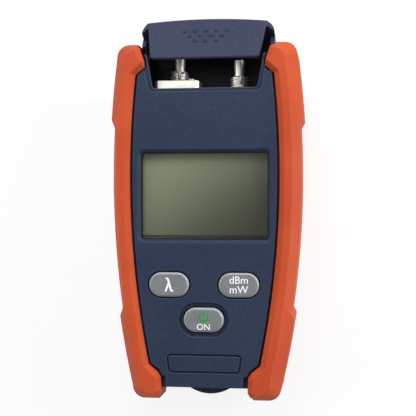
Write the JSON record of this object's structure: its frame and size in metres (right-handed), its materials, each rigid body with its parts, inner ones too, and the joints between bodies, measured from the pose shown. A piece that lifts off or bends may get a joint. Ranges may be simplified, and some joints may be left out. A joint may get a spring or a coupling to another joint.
{
  "type": "optical power meter",
  "caption": "Hand-held fibre-optic power meter with a display, rubber keys, side grips, two ferrule ports under a flip cover and a sliding battery door.",
  "frame": {"origin": "middle of the underside, on the plane the grips rest on", "axes": "+X to the right across the face, +Y towards the connector end, +Z out of the front face"},
  "size_m": [0.0768, 0.1516, 0.0352],
  "materials": {
    "shell_plastic": "dark blue moulded plastic, fine matt texture",
    "grip_rubber": "orange soft overmould",
    "key_rubber": "grey translucent silicone",
    "clear_window": "clear acrylic",
    "display": "grey-green reflective liquid crystal glass",
    "black_plastic": "black moulded plastic",
    "white_plastic": "white light guide",
    "board": "green solder mask",
    "chip_plastic": "epoxy",
    "nickel": "bright nickel plate",
    "can_steel": "drawn steel can",
    "screw_steel": "zinc plated",
    "contact_steel": "nickel plated spring steel",
    "cell_sleeve": "printed sleeve, plain",
    "silicone": "clear silicone",
    "black_rubber": "black foam rubber"
  },
  "bodies": {
    "case": {"front_shell": "shell_plastic", "rear_shell": "shell_plastic", "grip_left": "grip_rubber", "grip_right": "grip_rubber", "lcd_window": "clear_window", "window_seal": "black_rubber", "lcd_cell": "display", "lcd_holder": "black_plastic", "contact_strip": "silicone", "backlight": "white_plastic", "main_board": "board", "board_parts": "chip_plastic", "dome_switches": "contact_steel", "bulkhead": "black_plastic", "detector_port": "nickel", "laser_port": "nickel", "detector_module": "can_steel", "laser_module": "can_steel", "port_screws": "screw_steel", "case_screws": "screw_steel", "cell_left": "cell_sleeve", "cell_right": "cell_sleeve", "cell_contacts": "contact_steel", "boot_wavelength": "silicone", "boot_unit": "silicone", "boot_power": "silicone"},
    "dust_cover": {"dust_cover": "shell_plastic"},
    "battery_door": {"battery_door": "shell_plastic"},
    "key_wavelength": {"key_wavelength": "key_rubber"},
    "key_unit": {"key_unit": "key_rubber"},
    "key_power": {"key_power": "key_rubber"}
  },
  "joints": [
    {"name": "cover_hinge", "type": "hinge", "parent": "case", "child": "dust_cover", "pos_m": [0, 0.05141, 0.007], "axis": [-1, 0, 0], "range_deg": [-27, 85]},
    {"name": "door_slide", "type": "slide", "parent": "case", "child": "battery_door", "axis": [0, -1, 0], "range_m": [0, 0.01]},
    {"name": "wavelength_press", "type": "slide", "parent": "case", "child": "key_wavelength", "axis": [0, 0, -1], "range_m": [0, 0.0008], "stiffness_N_per_m": 1500, "deforming": ["boot_wavelength"]},
    {"name": "unit_press", "type": "slide", "parent": "case", "child": "key_unit", "axis": [0, 0, -1], "range_m": [0, 0.0008], "stiffness_N_per_m": 1500, "deforming": ["boot_unit"]},
    {"name": "power_press", "type": "slide", "parent": "case", "child": "key_power", "axis": [0, 0, -1], "range_m": [0, 0.0008], "stiffness_N_per_m": 1500, "deforming": ["boot_power"]}
  ]
}
